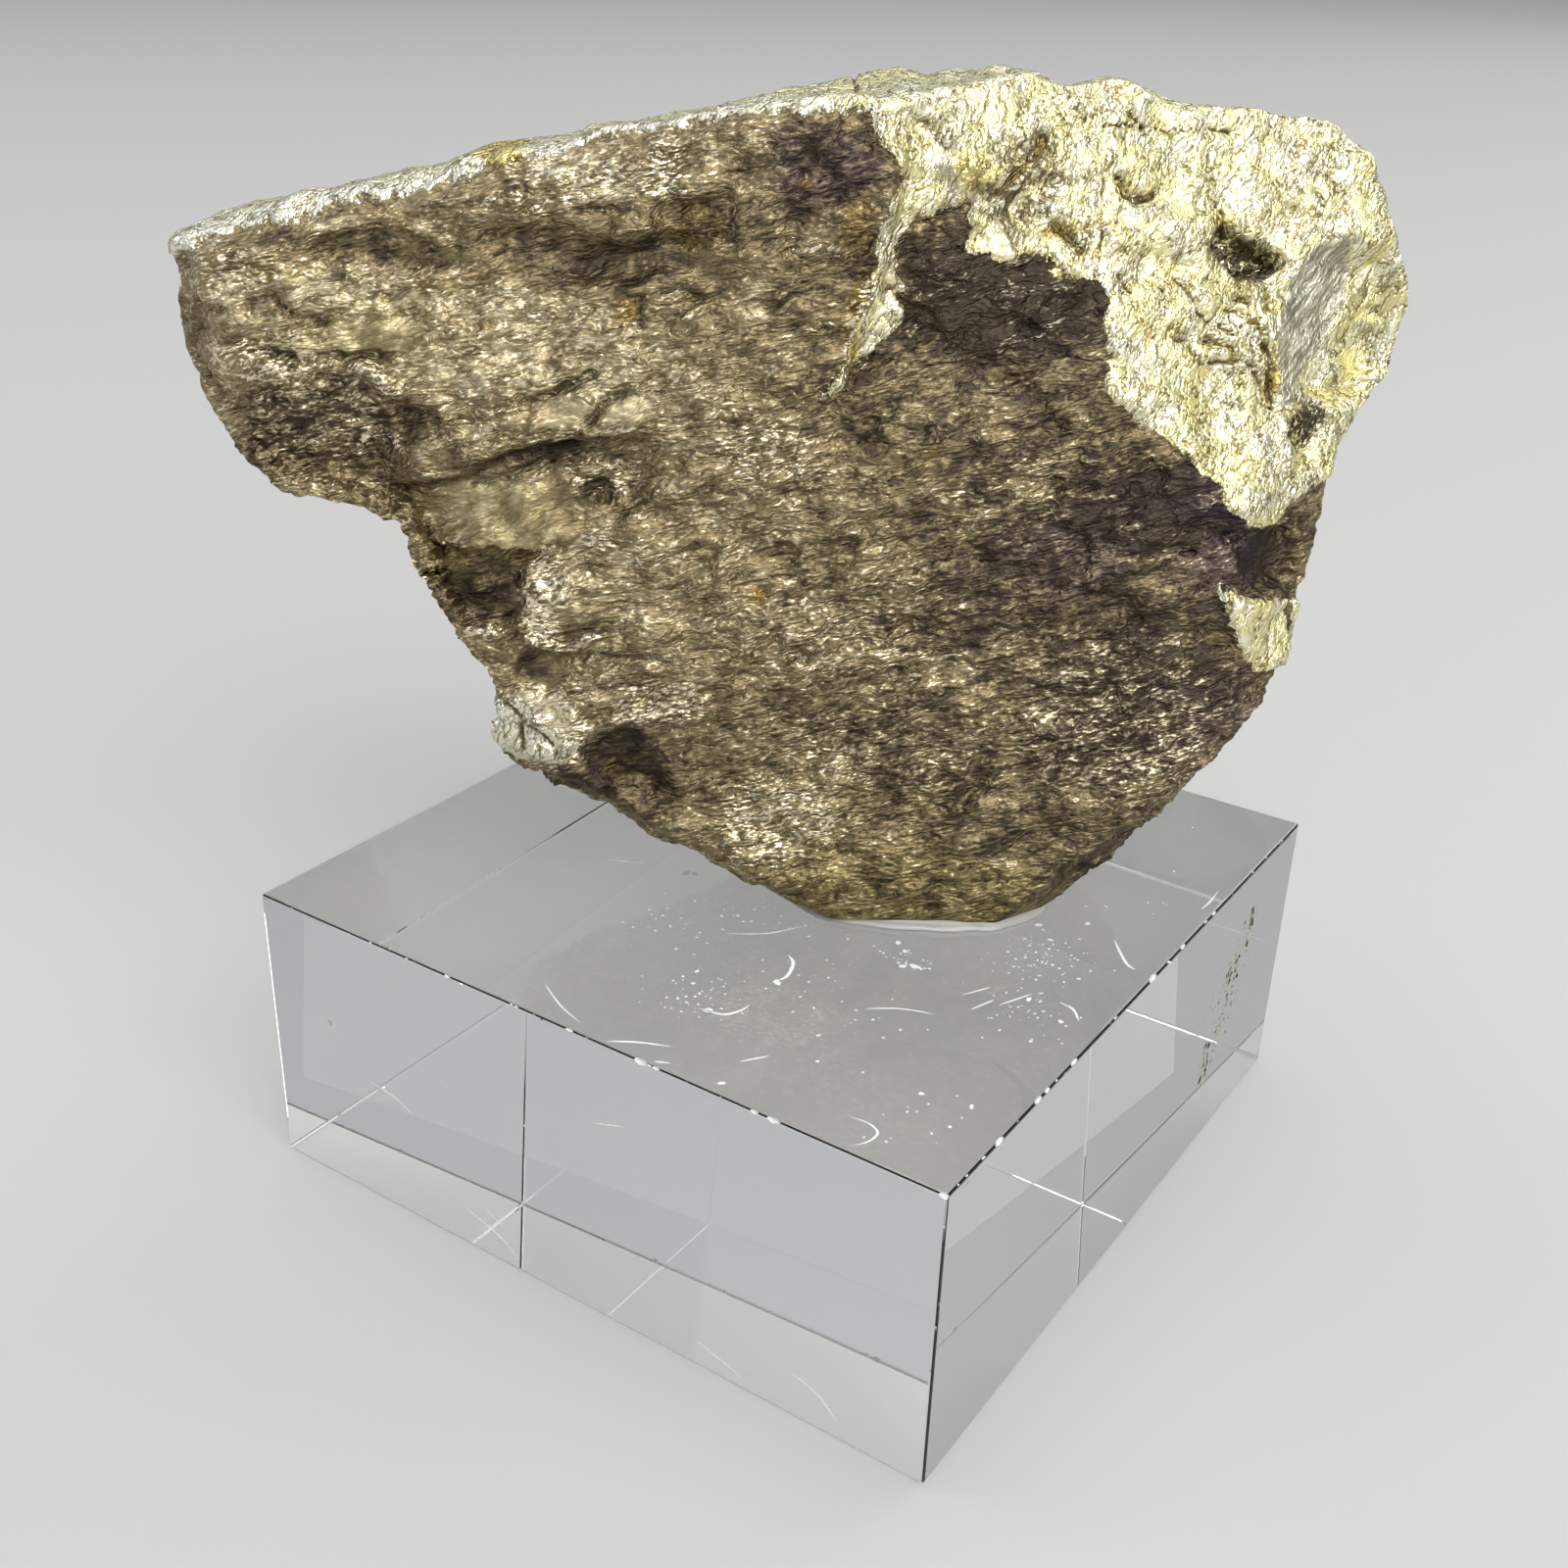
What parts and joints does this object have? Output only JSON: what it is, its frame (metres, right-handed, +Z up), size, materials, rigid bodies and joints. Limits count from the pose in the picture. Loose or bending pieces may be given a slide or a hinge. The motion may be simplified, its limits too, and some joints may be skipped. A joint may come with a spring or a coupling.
{
  "type": "mounted pyrite specimen",
  "caption": "Rough wedge of tarnished pyrite with a bright fresh break, glued upright on a clear square acrylic display block.",
  "frame": {"origin": "centre of the display block's underside", "axes": "+X along the block's front edge, +Y away from the viewer along its side edge, +Z up; the stone's broad face is turned 34 degrees about Z from the front edge"},
  "size_m": [0.0586, 0.05, 0.0694],
  "materials": {
    "clear_acrylic": "polished clear acrylic with fine surface scratches, dust and nicked edges",
    "clear_glue": "clear, slightly cloudy adhesive",
    "tarnished_pyrite": "bronze-brown tarnished metallic mineral with a bright pale gold fresh break"
  },
  "bodies": {
    "root": {"acrylic_block": "clear_acrylic", "glue_pad": "clear_glue", "pyrite_stone": "tarnished_pyrite"}
  },
  "joints": []
}
